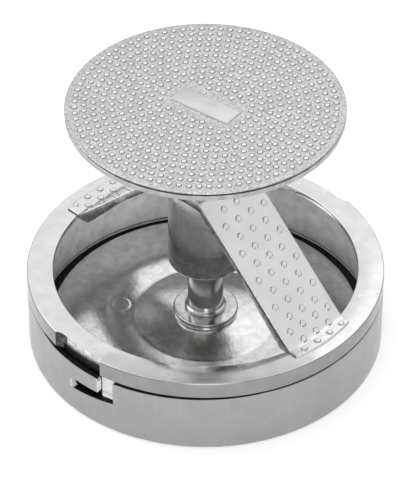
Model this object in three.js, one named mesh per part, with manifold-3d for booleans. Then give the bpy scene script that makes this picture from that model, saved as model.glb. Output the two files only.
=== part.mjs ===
// Burger press: a tray, a mould ring that locks on it with a bayonet, and a plunger guided by a bridge.
// Millimetres, +Z up. The origin is the centre of the tray's underside.
// +X runs along one leg of the bridge.

import * as THREE from 'three';
import { mergeVertices } from 'three/addons/utils/BufferGeometryUtils.js';
import Module from 'manifold-3d';

const wasm = await Module();
wasm.setup();

// Driving dimensions
const bodyRadius = 60;
const trayHeight = 21.8;
const trayWall = 2;
const trayFloor = 2.5;
const lipHeight = 6;
const rimWidth = 8.8;
const rimThickness = 1.9;
const bridgeWidth = 25;
const bridgeRise = 38.4;
const rodRadius = 6;
const plateLift = 20;
const palmRadius = 45.6;
const palmThickness = 2.9;
const palmRise = 66.8;

// Clearances
const lipGap = 0.5;
const skirtGap = 0.5;
const skirtFloorGap = 1.3;
const plateFloorGap = 0.3;
const plateEdgeGap = 4.1;
const runningGap = 0.15;
const pressedGap = 0.1;
const seatGap = 0.3;
const washerPlay = 0.1;
const liftGap = 0.9;
const overrun = 1;

// Smoothness
const broadSides = 72;
const narrowSides = 36;
const cornerSteps = 3;
const sectorSteps = 8;
const halfTurn = Math.PI;
const radiansPerDegree = Math.PI / 180;

// Tray
const trayFootRound = 1.2;
const trayInnerRound = 2;
const trayEdgeChamfer = 0.3;

// Bayonet, in degrees about the axis and in millimetres above the tray's underside
const bayonetStations = [0, halfTurn];
const channelStart = -81;
const channelWidth = 6;
const lockTurn = 12;
const lugSideGap = 0.5;
const runBottom = 11.8;
const runHeight = 2.6;
const lugStandOut = 1.5;
const lugShankRadius = 0.8;

// Mould rim and skirt
const lipThickness = 1.5;
const notchDepth = 1.7;
const lipGrooveDepth = 2;
const skirtThickness = 0.9;
const skirtEdgeRound = 0.4;
const rimChamfer = 0.4;
const notchStart = -100;
const notchEnd = -80;

// Bridge
const bridgeThickness = 3.2;
const footProud = 0.8;
const footSink = 0.9;
const footEndInset = 3;
const bendInset = 0.3;
const hubMargin = 0.3;

// Guide boss and bushes
const bushWall = 1.85;
const bossWall = 4.4;
const bossChamfer = 0.4;
const lowerBushLength = 12;
const upperBushLength = 14;
const bushFlangeWidth = 1.2;
const bushFlangeThickness = 1.2;

// Press plate
const plateEdgeThickness = 3.1;
const plateCrown = 2.4;
const plateHubRadius = 24;
const plateEdgeChamfer = 0.3;
const spigotSeatDepth = 1.8;
const screwRadius = 2.5;
const screwHeadRadius = 4.6;
const screwHeadHeight = 2.1;
const screwHeadSink = 0.1;
const screwLength = 12;
const screwHoleGap = 0.2;
const screwTipGap = 1;
const screwSocketDepth = 1.2;
const screwSocketRadius = 1.7;

// Stop washer and rod
const washerThickness = 2.2;
const washerWidth = 5;
const spigotShoulder = 2;
const collarWidth = 1;
const collarHeight = 1;
const collarFillet = 0.6;

// Palm disc
const palmHubWall = 5;
const palmHubHeight = 8;
const palmEdgeChamfer = 0.5;
const palmHubFillet = 2;
const stemShoulder = 1.6;
const stemLength = 6.8;
const stemEndGap = 0.4;
const stemSideGap = 0.2;
const grubRadius = 2;
const grubInset = 0.5;
const grubSocketDepth = 1.5;
const grubSocketRadius = 1.2;
const plaqueLength = 23;
const plaqueWidth = 8;
const plaqueHeight = 0.4;
const plaqueTurn = 8;
const plaqueCorner = 1;

// Angles, heights and radii that follow from the values above
const runStart = channelStart - lockTurn;
const channelEnd = channelStart + channelWidth;
const lugStart = channelStart + lugSideGap;
const lugEnd = channelEnd - lugSideGap;
const spigotRadius = rodRadius - spigotShoulder;
const stemRadius = rodRadius - stemShoulder;
const palmHubRadius = rodRadius + palmHubWall;
const trayInner = bodyRadius - trayWall;
const lipBottom = trayHeight + lipGap;
const rimTop = lipBottom + lipHeight;
const openingRadius = bodyRadius - rimWidth;
const skirtOuter = trayInner - skirtGap;
const skirtInner = skirtOuter - skirtThickness;
const skirtBottom = trayFloor + skirtFloorGap;
const skirtTop = rimTop - rimThickness;
const lipInner = bodyRadius - lipThickness;
const plateRadius = skirtInner - plateEdgeGap;
const plateBottom = trayFloor + plateFloorGap;
const plateEdgeTop = plateBottom + plateEdgeThickness;
const plateTop = plateEdgeTop + plateCrown;
const spigotBottom = plateTop - spigotSeatDepth;
const washerBottom = plateTop + washerPlay;
const washerTop = washerBottom + washerThickness;
const collarBottom = washerTop + washerPlay;
const collarTop = collarBottom + collarHeight;
const bossBottom = washerTop + plateLift + liftGap;
const bushInner = rodRadius + runningGap;
const bushOuter = bushInner + bushWall;
const bossBore = bushOuter + pressedGap;
const bossRadius = bossBore + bossWall;
const lowerBushBottom = collarTop + collarFillet + plateLift + seatGap;
const hubTop = rimTop + bridgeRise;
const hubHalfLength = bushOuter + bushFlangeWidth + hubMargin;
const footTop = rimTop + footProud;
const footBottom = rimTop - footSink;
const footEnd = bodyRadius - footEndInset;
const bendRadius = openingRadius - bendInset;
const palmTop = rimTop + palmRise;
const palmUnder = palmTop - palmThickness;
const palmHubBottom = palmUnder - palmHubHeight;
const grubHeight = palmHubBottom + palmHubHeight / 2;

// Turns a BufferGeometry into a solid: shared corners merged, flat slivers dropped, faces outward.
function solidOf(geometry) {
  const bare = geometry.clone();
  bare.deleteAttribute('normal');
  bare.deleteAttribute('uv');
  const merged = mergeVertices(bare);
  const corners = merged.index.array;
  const places = merged.attributes.position.array;
  const triangles = [];
  for (let i = 0; i < corners.length; i += 3) {
    const [a, b, c] = corners.slice(i, i + 3);
    if (a !== b && b !== c && c !== a) {
      triangles.push(a, b, c);
    }
  }
  if (signedVolume(places, triangles) < 0) {
    triangles.reverse();
  }
  const mesh = new wasm.Mesh({
    numProp: 3,
    vertProperties: new Float32Array(places),
    triVerts: new Uint32Array(triangles),
  });
  return new wasm.Manifold(mesh);
}

// Six times the volume that the triangles enclose, negative where they face inward.
function signedVolume(places, triangles) {
  const corner = (index) => new THREE.Vector3().fromArray(places, 3 * index);
  let volume = 0;
  for (let i = 0; i < triangles.length; i += 3) {
    const [a, b, c] = triangles.slice(i, i + 3).map(corner);
    volume += a.dot(b.cross(c));
  }
  return volume;
}

// Turns a solid back into a BufferGeometry.
function geometryOf(solid) {
  const mesh = solid.getMesh();
  const geometry = new THREE.BufferGeometry();
  const places = new Float32Array(mesh.vertProperties);
  const corners = new Uint32Array(mesh.triVerts);
  geometry.setAttribute('position', new THREE.BufferAttribute(places, 3));
  geometry.setIndex(new THREE.BufferAttribute(corners, 1));
  geometry.computeVertexNormals();
  return geometry;
}

// A round solid about +Z from [radius, height] points, which start and end on the axis or form a loop.
function turned(profile, sides) {
  const closed = profile[0][0] === 0 ? profile : [...profile, profile[0]];
  const points = closed.map(([radius, height]) => new THREE.Vector2(radius, height));
  const geometry = new THREE.LatheGeometry(points, sides);
  geometry.rotateX(halfTurn / 2);
  return solidOf(geometry);
}

// A cylinder about +Z between two heights.
function cylinder(radius, bottom, top, sides) {
  return turned([[0, bottom], [radius, bottom], [radius, top], [0, top]], sides);
}

// Points of a quarter round between two directions, in degrees, about a centre in the profile.
function round(centreRadius, centreHeight, radius, from, to) {
  const points = [];
  for (let i = 0; i <= cornerSteps; i += 1) {
    const angle = (from + (to - from) * i / cornerSteps) * radiansPerDegree;
    points.push([centreRadius + radius * Math.cos(angle), centreHeight + radius * Math.sin(angle)]);
  }
  return points;
}

// A curved block between two radii, two angles in degrees and two heights.
function sector(inner, outer, from, to, bottom, top) {
  const shape = new THREE.Shape();
  shape.absarc(0, 0, outer, from * radiansPerDegree, to * radiansPerDegree, false);
  shape.absarc(0, 0, inner, to * radiansPerDegree, from * radiansPerDegree, true);
  const depth = top - bottom;
  const options = { depth, bevelEnabled: false, curveSegments: sectorSteps };
  const geometry = new THREE.ExtrudeGeometry(shape, options);
  geometry.translate(0, 0, bottom);
  return solidOf(geometry);
}

// A prism with its outline in the XZ plane and its width along Y.
function prism(outline, width) {
  const shape = new THREE.Shape(outline.map(([x, z]) => new THREE.Vector2(x, z)));
  const geometry = new THREE.ExtrudeGeometry(shape, { depth: width, bevelEnabled: false });
  geometry.rotateX(halfTurn / 2);
  geometry.translate(0, width / 2, 0);
  return solidOf(geometry);
}

// A bar with its axis along a radius of the press, from one radius to another, at a height.
function radialBar(radius, from, to, angle, height, sides) {
  const geometry = new THREE.CylinderGeometry(radius, radius, to - from, sides);
  geometry.rotateZ(-halfTurn / 2);
  geometry.translate((from + to) / 2, 0, height);
  geometry.rotateZ(angle * radiansPerDegree);
  return solidOf(geometry);
}

// A solid turned about +Z by an angle in radians.
function turnedBy(solid, angle) {
  const geometry = geometryOf(solid);
  geometry.rotateZ(angle);
  return solidOf(geometry);
}

// Cuts a tool out of a solid at both bayonet stations.
function cutAtStations(solid, tool) {
  return bayonetStations.reduce((rest, station) => rest.subtract(turnedBy(tool, station)), solid);
}

function makeTray() {
  const body = turned([
    [0, 0],
    ...round(bodyRadius - trayFootRound, trayFootRound, trayFootRound, -90, 0),
    [bodyRadius, trayHeight - trayEdgeChamfer],
    [bodyRadius - trayEdgeChamfer, trayHeight],
    [trayInner, trayHeight],
    ...round(trayInner - trayInnerRound, trayFloor + trayInnerRound, trayInnerRound, 0, -90),
    [0, trayFloor],
  ], broadSides);
  const inner = trayInner - overrun;
  const outer = bodyRadius + overrun;
  const runTop = runBottom + runHeight;
  const run = sector(inner, outer, runStart, channelEnd, runBottom, runTop);
  const channel = sector(inner, outer, channelStart, channelEnd, runBottom, trayHeight + overrun);
  return cutAtStations(body, run.add(channel));
}

function makeMouldRim() {
  const grooveTop = lipBottom + lipGrooveDepth;
  const seatRadius = skirtOuter + pressedGap;
  const rim = turned([
    [openingRadius + rimChamfer, rimTop],
    [bodyRadius - rimChamfer, rimTop],
    [bodyRadius, rimTop - rimChamfer],
    [bodyRadius, lipBottom],
    [lipInner, lipBottom],
    [lipInner, grooveTop],
    [seatRadius, grooveTop],
    [seatRadius, skirtTop],
    [openingRadius, skirtTop],
    [openingRadius, rimTop - rimChamfer],
  ], broadSides);
  const notchFloor = bodyRadius - notchDepth;
  const outside = bodyRadius + overrun;
  const notch = sector(notchFloor, outside, notchStart, notchEnd, lipBottom - overrun, rimTop + overrun);
  return cutAtStations(rim, notch).subtract(footRecess());
}

// The thin wall inside the tray, pressed in the step under the rim.
function makeMouldSkirt() {
  const skirt = turned([
    [skirtOuter, skirtTop],
    [skirtOuter, skirtBottom + skirtEdgeRound],
    [skirtOuter - skirtEdgeRound, skirtBottom],
    [skirtInner, skirtBottom],
    [skirtInner, skirtTop],
  ], broadSides);
  const from = skirtInner - overrun;
  const to = skirtOuter + overrun;
  const shankHole = radialBar(lugShankRadius + seatGap, from, to, lugAngle(), lugMiddle(), narrowSides);
  return cutAtStations(skirt, shankHole);
}

// The shallow seat in the rim for both feet of the bridge.
function footRecess() {
  const across = bridgeWidth + 2 * seatGap;
  const reach = footEnd + seatGap;
  const slab = prism([
    [-reach, footBottom],
    [reach, footBottom],
    [reach, rimTop + overrun],
    [-reach, rimTop + overrun],
  ], across);
  return slab.intersect(cylinder(reach, footBottom - overrun, rimTop + overrun, broadSides));
}

function lugAngle() {
  return (lugStart + lugEnd) / 2;
}

function lugMiddle() {
  return runBottom + runHeight / 2;
}

// A lug of the bayonet: a curved block outside the skirt, on a rivet that is filed flush inside.
function makeLug(station) {
  const bottom = runBottom + seatGap;
  const top = runBottom + runHeight - seatGap;
  const face = skirtOuter + seatGap;
  const block = sector(face, face + lugStandOut, lugStart, lugEnd, bottom, top);
  const shankEnd = face + lugStandOut / 2;
  const shank = radialBar(lugShankRadius, skirtInner, shankEnd, lugAngle(), lugMiddle(), narrowSides);
  return turnedBy(block.add(shank), station);
}

// Fall of a leg's top line for each millimetre out from the hub.
function legSlope() {
  return (hubTop - footTop) / (bendRadius - hubHalfLength);
}

// The underside of the bridge on one side, from the hub outward, lowered by a gap.
function bridgeUnderside(gap) {
  const slope = legSlope();
  const drop = bridgeThickness * Math.hypot(1, slope);
  const hubUnder = hubTop - bridgeThickness;
  const hubCorner = hubHalfLength + (bridgeThickness - drop) / slope;
  const footCorner = hubHalfLength + (hubTop - drop - footBottom) / slope;
  return [[hubCorner, hubUnder - gap], [footCorner, footBottom - gap]];
}

// Copies points on the other side of the axis, in the opposite order.
function mirrored(points) {
  return points.map(([x, z]) => [-x, z]).reverse();
}

function makeBridge() {
  const rightSide = [
    [hubHalfLength, hubTop],
    [bendRadius, footTop],
    [bodyRadius, footTop],
    [bodyRadius, footBottom],
    ...bridgeUnderside(0).reverse(),
  ];
  const outline = [...rightSide, ...mirrored(rightSide)];
  const top = hubTop + overrun;
  const strap = prism(outline, bridgeWidth).intersect(cylinder(footEnd, 0, top, broadSides));
  return strap.subtract(cylinder(bossBore, footBottom, top, narrowSides));
}

function makeGuideBoss() {
  const tube = turned([
    [bossBore + bossChamfer, bossBottom],
    [bossRadius - bossChamfer, bossBottom],
    [bossRadius, bossBottom + bossChamfer],
    [bossRadius, hubTop],
    [bossBore, hubTop],
    [bossBore, bossBottom + bossChamfer],
  ], broadSides);
  const [hubPoint, footPoint] = bridgeUnderside(seatGap);
  const foot = [footPoint[0], footPoint[1] - overrun];
  const rightSide = [hubPoint, footPoint, foot];
  const underRoof = prism([...mirrored(rightSide), ...rightSide], 2 * bridgeWidth);
  return tube.intersect(underRoof);
}

// The lower bush stays clear of the collar on the rod when the plunger is up.
function makeLowerBush() {
  const top = lowerBushBottom + lowerBushLength;
  return turned([
    [bushInner, lowerBushBottom],
    [bushOuter, lowerBushBottom],
    [bushOuter, top],
    [bushInner, top],
  ], narrowSides);
}

function makeUpperBush() {
  const bottom = hubTop - upperBushLength;
  const flangeTop = hubTop + bushFlangeThickness;
  const flangeRadius = bushOuter + bushFlangeWidth;
  return turned([
    [bushInner, bottom],
    [bushOuter, bottom],
    [bushOuter, hubTop],
    [flangeRadius, hubTop],
    [flangeRadius, flangeTop],
    [bushInner, flangeTop],
  ], narrowSides);
}

function makeStopWasher() {
  const inner = spigotRadius + runningGap;
  const outer = rodRadius + washerWidth;
  return turned([
    [inner, washerBottom],
    [outer, washerBottom],
    [outer, washerTop],
    [inner, washerTop],
  ], narrowSides);
}

function makeRod() {
  const collarRadius = rodRadius + collarWidth;
  const tapRadius = screwRadius + pressedGap;
  const tapTop = plateBottom + screwHeadSink + screwLength + screwTipGap;
  return turned([
    [0, tapTop],
    [tapRadius, tapTop],
    [tapRadius, spigotBottom],
    [spigotRadius, spigotBottom],
    [spigotRadius, collarBottom],
    [collarRadius, collarBottom],
    [collarRadius, collarTop],
    [rodRadius, collarTop + collarFillet],
    [rodRadius, palmHubBottom],
    [stemRadius, palmHubBottom],
    [stemRadius, palmHubBottom + stemLength],
    [0, palmHubBottom + stemLength],
  ], narrowSides);
}

function makePressPlate() {
  const holeRadius = screwRadius + screwHoleGap;
  const sinkRadius = screwHeadRadius + screwHoleGap;
  return turned([
    [sinkRadius, plateBottom],
    [plateRadius - plateEdgeChamfer, plateBottom],
    [plateRadius, plateBottom + plateEdgeChamfer],
    [plateRadius, plateEdgeTop - plateEdgeChamfer],
    [plateRadius - plateEdgeChamfer, plateEdgeTop],
    [plateHubRadius, plateTop],
    [spigotRadius + runningGap, plateTop],
    [spigotRadius + runningGap, spigotBottom],
    [holeRadius, spigotBottom],
    [holeRadius, plateBottom + screwHeadHeight + screwHeadSink],
    [sinkRadius, plateBottom + screwHeadSink],
  ], broadSides);
}

function makePlateScrew() {
  const bottom = plateBottom + screwHeadSink;
  const screw = turned([
    [0, bottom],
    [screwHeadRadius, bottom],
    [screwRadius, bottom + screwHeadHeight],
    [screwRadius, bottom + screwLength],
    [0, bottom + screwLength],
  ], narrowSides);
  const socketSides = 6;
  const socketTop = bottom + screwSocketDepth;
  return screw.subtract(cylinder(screwSocketRadius, bottom - overrun, socketTop, socketSides));
}

function makePalmDisc() {
  const boreRadius = stemRadius + stemSideGap;
  const disc = turned([
    [0, palmTop],
    [palmRadius - palmEdgeChamfer, palmTop],
    [palmRadius, palmTop - palmEdgeChamfer],
    [palmRadius, palmUnder + palmEdgeChamfer],
    [palmRadius - palmEdgeChamfer, palmUnder],
    [palmHubRadius + palmHubFillet, palmUnder],
    [palmHubRadius, palmUnder - palmHubFillet],
    [palmHubRadius, palmHubBottom],
    [boreRadius, palmHubBottom],
    [boreRadius, palmHubBottom + stemLength + stemEndGap],
    [0, palmHubBottom + stemLength + stemEndGap],
  ], broadSides);
  const holeRadius = grubRadius + seatGap;
  const holeEnd = palmHubRadius + overrun;
  const grubHole = radialBar(holeRadius, stemRadius, holeEnd, grubTurn(), grubHeight, narrowSides);
  return disc.subtract(grubHole);
}

// The grub screw sits square to the bridge.
function grubTurn() {
  return halfTurn / 2 / radiansPerDegree;
}

function makeGrubScrew() {
  const from = stemRadius + seatGap;
  const to = palmHubRadius - grubInset;
  const socketSides = 6;
  const screw = radialBar(grubRadius, from, to, grubTurn(), grubHeight, narrowSides);
  const socketStart = to - grubSocketDepth;
  const socketEnd = to + overrun;
  const socket = radialBar(grubSocketRadius, socketStart, socketEnd, grubTurn(), grubHeight, socketSides);
  return screw.subtract(socket);
}

// The smooth pad in the middle of the palm disc, bare.
function makePlaque() {
  const x = plaqueLength / 2;
  const y = plaqueWidth / 2;
  const shape = new THREE.Shape();
  shape.moveTo(plaqueCorner - x, -y);
  shape.lineTo(x - plaqueCorner, -y);
  shape.absarc(x - plaqueCorner, plaqueCorner - y, plaqueCorner, -halfTurn / 2, 0, false);
  shape.absarc(x - plaqueCorner, y - plaqueCorner, plaqueCorner, 0, halfTurn / 2, false);
  shape.absarc(plaqueCorner - x, y - plaqueCorner, plaqueCorner, halfTurn / 2, halfTurn, false);
  shape.absarc(plaqueCorner - x, plaqueCorner - y, plaqueCorner, halfTurn, halfTurn * 3 / 2, false);
  const options = { depth: plaqueHeight, bevelEnabled: false, curveSegments: cornerSteps };
  const geometry = new THREE.ExtrudeGeometry(shape, options);
  geometry.translate(0, 0, palmTop);
  return turnedBy(solidOf(geometry), plaqueTurn * radiansPerDegree);
}

const finishes = {
  satinAluminium: { color: 0xc2c3c5, roughness: 0.32, metalness: 1 },
  polishedAluminium: { color: 0xd6d7d9, roughness: 0.15, metalness: 1 },
  castAluminium: { color: 0xb9babc, roughness: 0.5, metalness: 1 },
  polishedSteel: { color: 0xc8c9cb, roughness: 0.12, metalness: 1 },
  nylon: { color: 0xe9e6dd, roughness: 0.55, metalness: 0 },
};

const press = new THREE.Group();

function place(name, solid, finish) {
  const material = new THREE.MeshStandardMaterial(finishes[finish]);
  const mesh = new THREE.Mesh(geometryOf(solid), material);
  mesh.name = name;
  press.add(mesh);
}

place('base_tray', makeTray(), 'satinAluminium');
place('mould_rim', makeMouldRim(), 'polishedAluminium');
place('mould_skirt', makeMouldSkirt(), 'satinAluminium');
place('bayonet_lug_front', makeLug(bayonetStations[0]), 'polishedAluminium');
place('bayonet_lug_back', makeLug(bayonetStations[1]), 'polishedAluminium');
place('bridge_strap', makeBridge(), 'castAluminium');
place('guide_boss', makeGuideBoss(), 'polishedAluminium');
place('lower_bush', makeLowerBush(), 'nylon');
place('upper_bush', makeUpperBush(), 'nylon');
place('stop_washer', makeStopWasher(), 'polishedSteel');
place('plunger_rod', makeRod(), 'polishedSteel');
place('press_plate', makePressPlate(), 'castAluminium');
place('plate_screw', makePlateScrew(), 'polishedSteel');
place('palm_disc', makePalmDisc(), 'castAluminium');
place('palm_plaque', makePlaque(), 'polishedAluminium');
place('palm_grub_screw', makeGrubScrew(), 'polishedSteel');

export default press;
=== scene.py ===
"""Looks of the burger press: studio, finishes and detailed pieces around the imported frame."""

import logging
import math
from collections.abc import Callable, Sequence
from dataclasses import dataclass, field
from enum import Enum

import bmesh
import bpy
import numpy as np
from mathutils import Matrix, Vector
from mathutils.geometry import delaunay_2d_cdt

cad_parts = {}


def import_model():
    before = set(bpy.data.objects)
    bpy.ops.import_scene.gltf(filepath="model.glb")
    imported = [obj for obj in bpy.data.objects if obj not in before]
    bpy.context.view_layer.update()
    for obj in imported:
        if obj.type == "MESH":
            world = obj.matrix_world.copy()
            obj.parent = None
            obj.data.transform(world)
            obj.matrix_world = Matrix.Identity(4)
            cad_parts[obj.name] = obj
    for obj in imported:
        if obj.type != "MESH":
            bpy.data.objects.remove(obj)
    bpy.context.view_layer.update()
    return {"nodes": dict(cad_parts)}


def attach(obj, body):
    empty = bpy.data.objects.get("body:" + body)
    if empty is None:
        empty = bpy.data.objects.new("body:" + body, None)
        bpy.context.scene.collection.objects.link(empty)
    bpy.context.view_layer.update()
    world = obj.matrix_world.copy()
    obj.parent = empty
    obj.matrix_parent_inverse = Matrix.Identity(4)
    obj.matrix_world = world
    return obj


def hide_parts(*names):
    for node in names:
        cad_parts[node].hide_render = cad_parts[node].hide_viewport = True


LOG = logging.getLogger("burger_press")

METRES = 0.001
FULL_TURN = 2 * math.pi
SMOOTH_LIMIT = math.radians(32)

# Limits for welding, for filling and for how far a sharp corner moves when an outline grows
WELD = 0.002
INSIDE_ONLY = 1
FILL_LIMIT = 1e-5
LEAST_MITRE = 0.35

# Shares of a face's normal along an axis, by which faces are told apart
LEANING = 0.5
LEVEL = 0.6
STEEP = 0.8
SQUARE = 0.9

# Ranges and shares that all finishes have in common
NOISE_ROUGHNESS = 0.55
COLOUR_NOISE = (0.32, 0.68)
GLOSS_NOISE = (0.3, 0.7)
GLOSS_CLOUD_SHARE = 0.6
LEAST_ROUGHNESS = 0.02
EDGE_POINTINESS = (0.52, 0.62)
BARE_EDGE_TONE = 0.95
DENT_CELL = (0.02, 0.16)

Point = tuple[float, float, float]
Corner = tuple[float, float, float]
Flat = tuple[float, float]
Ring = list[int]
Socket = bpy.types.NodeSocket
Tree = bpy.types.NodeTree


class Body(Enum):
    """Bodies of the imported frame."""

    BASE = "base"
    MOULD = "mould"
    STOP = "stop"
    PLUNGER = "plunger"


class Lay(Enum):
    """Tool marks of a finish: none, or rings about the axis."""

    PLAIN = "plain"
    TURNED = "turned"


@dataclass(frozen=True)
class Finish:
    """One metal or plastic finish.

    Lengths are in millimetres, tones are linear and the spreads are shares. A painted low shade holds
    two heights and the share of the tone that is left at the lower one: painted shade that darkens the
    colour toward the lower height.
    """

    name: str
    tone: Point
    tone_spread: float
    roughness: float
    roughness_spread: float
    metallic: float = 1.0
    cloud_size: float = 12.0
    grain_size: float = 0.5
    grain_depth: float = 0.0
    lay: Lay = Lay.PLAIN
    lay_size: float = 0.25
    lay_depth: float = 0.0
    wave_size: float = 20.0
    wave_depth: float = 0.0
    dent_size: float = 7.0
    dent_depth: float = 0.0
    wear: float = 0.0
    # Painted shade: colour darkened toward the lower of two heights.
    fade: tuple[float, float, float] | None = None


def grey(level: float, warmth: float = 0.007) -> Point:
    """Return a linear grey, a little warmer or cooler."""
    return (level * (1 + warmth), level, level * (1 - warmth))


def mapped(tree: Tree, value: Socket, source: Flat, target: Flat, soft: bool = False) -> Socket:
    """Map a value from one range to another.

    Args:
        tree: The tree that gets the node.
        value: The value to map.
        source: Its low and high end.
        target: The result at each end.
        soft: Whether the result eases in and out.

    Returns:
        The socket with the result.
    """
    node = tree.nodes.new("ShaderNodeMapRange")
    if soft:
        node.interpolation_type = "SMOOTHSTEP"
    node.inputs["From Min"].default_value, node.inputs["From Max"].default_value = source
    node.inputs["To Min"].default_value, node.inputs["To Max"].default_value = target
    tree.links.new(value, node.inputs["Value"])
    return node.outputs["Result"]


def split_up(tree: Tree, place: Socket) -> dict[str, Socket]:
    """Return the three coordinates of a place by their letters."""
    node = tree.nodes.new("ShaderNodeSeparateXYZ")
    tree.links.new(place, node.inputs["Vector"])
    return {letter: node.outputs[letter] for letter in "XYZ"}


def joined(tree: Tree, first: Socket, second: Socket) -> Socket:
    """Return a vector with two values as its X and Y."""
    node = tree.nodes.new("ShaderNodeCombineXYZ")
    tree.links.new(first, node.inputs["X"])
    tree.links.new(second, node.inputs["Y"])
    return node.outputs["Vector"]


def greater(tree: Tree, first: Socket, second: Socket) -> Socket:
    """Return the greater of two values."""
    node = tree.nodes.new("ShaderNodeMath")
    node.operation = "MAXIMUM"
    tree.links.new(first, node.inputs[0])
    tree.links.new(second, node.inputs[1])
    return node.outputs["Value"]


def ramped(tree: Tree, value: Socket, stops: Sequence[tuple[float, Point]]) -> Socket:
    """Colour a value with a ramp.

    Args:
        tree: The tree that gets the node.
        value: The value from 0 to 1.
        stops: Places on the ramp, each with its colour.

    Returns:
        The socket with the colour.
    """
    node = tree.nodes.new("ShaderNodeValToRGB")
    elements = node.color_ramp.elements
    while len(elements) < len(stops):
        elements.new(0.5)
    for element, (position, colour) in zip(elements, stops):
        element.position = position
        element.color = (*colour, 1)
    tree.links.new(value, node.inputs["Fac"])
    return node.outputs["Color"]


SATIN_TRAY = Finish(
    "satin_tray", grey(0.36), 0.05, 0.30, 0.05, grain_size=0.35, grain_depth=0.0012,
    lay=Lay.TURNED, lay_depth=0.0012, wave_size=30, wave_depth=0.02, wear=0.25,
)
# The tray's inner floor, painted near black as shade so the gap round the plate looks dark.
TRAY_FLOOR_PAINTED_SHADE = Finish(
    "tray_floor_painted_shade", grey(0.035), 0.2, 0.5, 0.08, grain_size=0.5, grain_depth=0.01,
    lay=Lay.TURNED, lay_size=0.5, lay_depth=0.003,
)
# Near-black painted shade for recesses, narrow gaps and grooves.
PAINTED_SHADE_RECESS = Finish(
    "painted_shade_recess", grey(0.045), 0.4, 0.5, 0.1, cloud_size=3, grain_size=0.5, grain_depth=0.02,
)
POLISHED_RIM = Finish(
    "polished_rim", grey(0.76), 0.07, 0.14, 0.05, cloud_size=7, grain_size=0.35, grain_depth=0.0012,
    wave_size=8, wave_depth=0.02, dent_depth=0.05, wear=0.2,
)
BRUSHED_LIP = Finish(
    "brushed_lip", grey(0.29), 0.07, 0.22, 0.06, cloud_size=6, grain_size=0.4, grain_depth=0.001,
    lay=Lay.TURNED, lay_depth=0.001, wave_size=14, wave_depth=0.012, wear=0.25,
)
# Cut walls of the notches; their low shade is painted shade, darker toward the wall's bottom.
ROUGH_CUT = Finish(
    "rough_cut", grey(0.6), 0.4, 0.36, 0.12, cloud_size=1.6, grain_size=0.6, grain_depth=0.09,
    fade=(24.8, 26.6, 0.12),
)
# Near-black painted shade for the soft starts of the notches.
NOTCH_START_PAINTED_SHADE = Finish(
    "notch_start_painted_shade", grey(0.06), 0.9, 0.45, 0.15, metallic=0.5, cloud_size=1.2, grain_size=0.6,
    grain_depth=0.12,
)
# A pale, mostly matte copy of the cut metal: painted light on faces that look lit.
CUT_PAINTED_LIGHT = Finish(
    "cut_painted_light", grey(0.9), 0.12, 0.55, 0.1, metallic=0.15, cloud_size=1.2, grain_size=0.5,
    grain_depth=0.04,
)
SPUN_SKIRT = Finish(
    "spun_skirt", grey(0.95), 0.25, 0.42, 0.1, metallic=0.1, cloud_size=4,
    grain_size=0.5, grain_depth=0.003, lay=Lay.TURNED, lay_size=0.8, lay_depth=0.008,
    wave_size=8, wave_depth=0.03,
)
CAST_STRAP = Finish(
    "cast_strap", grey(0.77), 0.04, 0.2, 0.05, grain_size=0.6, grain_depth=0.006,
    wave_size=7, wave_depth=0.02, wear=0.15,
)
# Painted shade on the flanks of the strap's bumps, for dark arcs round each.
BUMP_FLANK_PAINTED_SHADE = Finish(
    "bump_flank_painted_shade", grey(0.42), 0.2, 0.24, 0.06, cloud_size=1.5, grain_size=0.5, grain_depth=0.01,
)
STRAP_SIDE = Finish(
    "strap_side", grey(0.3), 0.35, 0.34, 0.1, cloud_size=2, grain_size=0.6, grain_depth=0.02,
    wave_size=4, wave_depth=0.03,
)
POLISHED_BOSS = Finish(
    "polished_boss", grey(0.66), 0.14, 0.14, 0.05, cloud_size=5, grain_size=0.4, grain_depth=0.0012,
    lay=Lay.TURNED, lay_size=0.5, lay_depth=0.003, wave_size=9, wave_depth=0.03,
)
BOSS_BAND = Finish(
    "boss_band", grey(0.46), 0.3, 0.2, 0.06, cloud_size=2.5, grain_size=0.4, grain_depth=0.0012,
    lay=Lay.TURNED, lay_size=0.5, lay_depth=0.004, wave_size=6, wave_depth=0.03,
)
GROUND_STEEL = Finish(
    "ground_steel", grey(0.5), 0.06, 0.12, 0.04, grain_size=0.3, grain_depth=0.001,
    lay=Lay.TURNED, lay_size=0.3, lay_depth=0.001, wave_size=6, wave_depth=0.006,
)
BRIGHT_WASHER = Finish(
    "bright_washer", grey(0.56), 0.16, 0.14, 0.05, cloud_size=2, grain_size=0.6, grain_depth=0.006,
    wave_size=3, wave_depth=0.008,
)
CAST_PLATE = Finish(
    "cast_plate", grey(0.7), 0.14, 0.15, 0.04, cloud_size=2.5,
    grain_size=0.8, grain_depth=0.05, wave_size=5, wave_depth=0.012, wear=0.2,
)
GRAINED_PALM = Finish(
    "grained_palm", grey(0.62), 0.36, 0.25, 0.08, cloud_size=0.6,
    grain_size=0.5, grain_depth=0.14, wave_size=16, wave_depth=0.03, wear=0.1,
)
# Painted highlight: the dots' tops far lighter than the disc, and smoother.
DOT_CAPS_PAINTED_HIGHLIGHT = Finish(
    "dot_caps_painted_highlight", grey(0.9), 0.06, 0.16, 0.04, cloud_size=2, grain_size=0.5, grain_depth=0.01,
)
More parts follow.
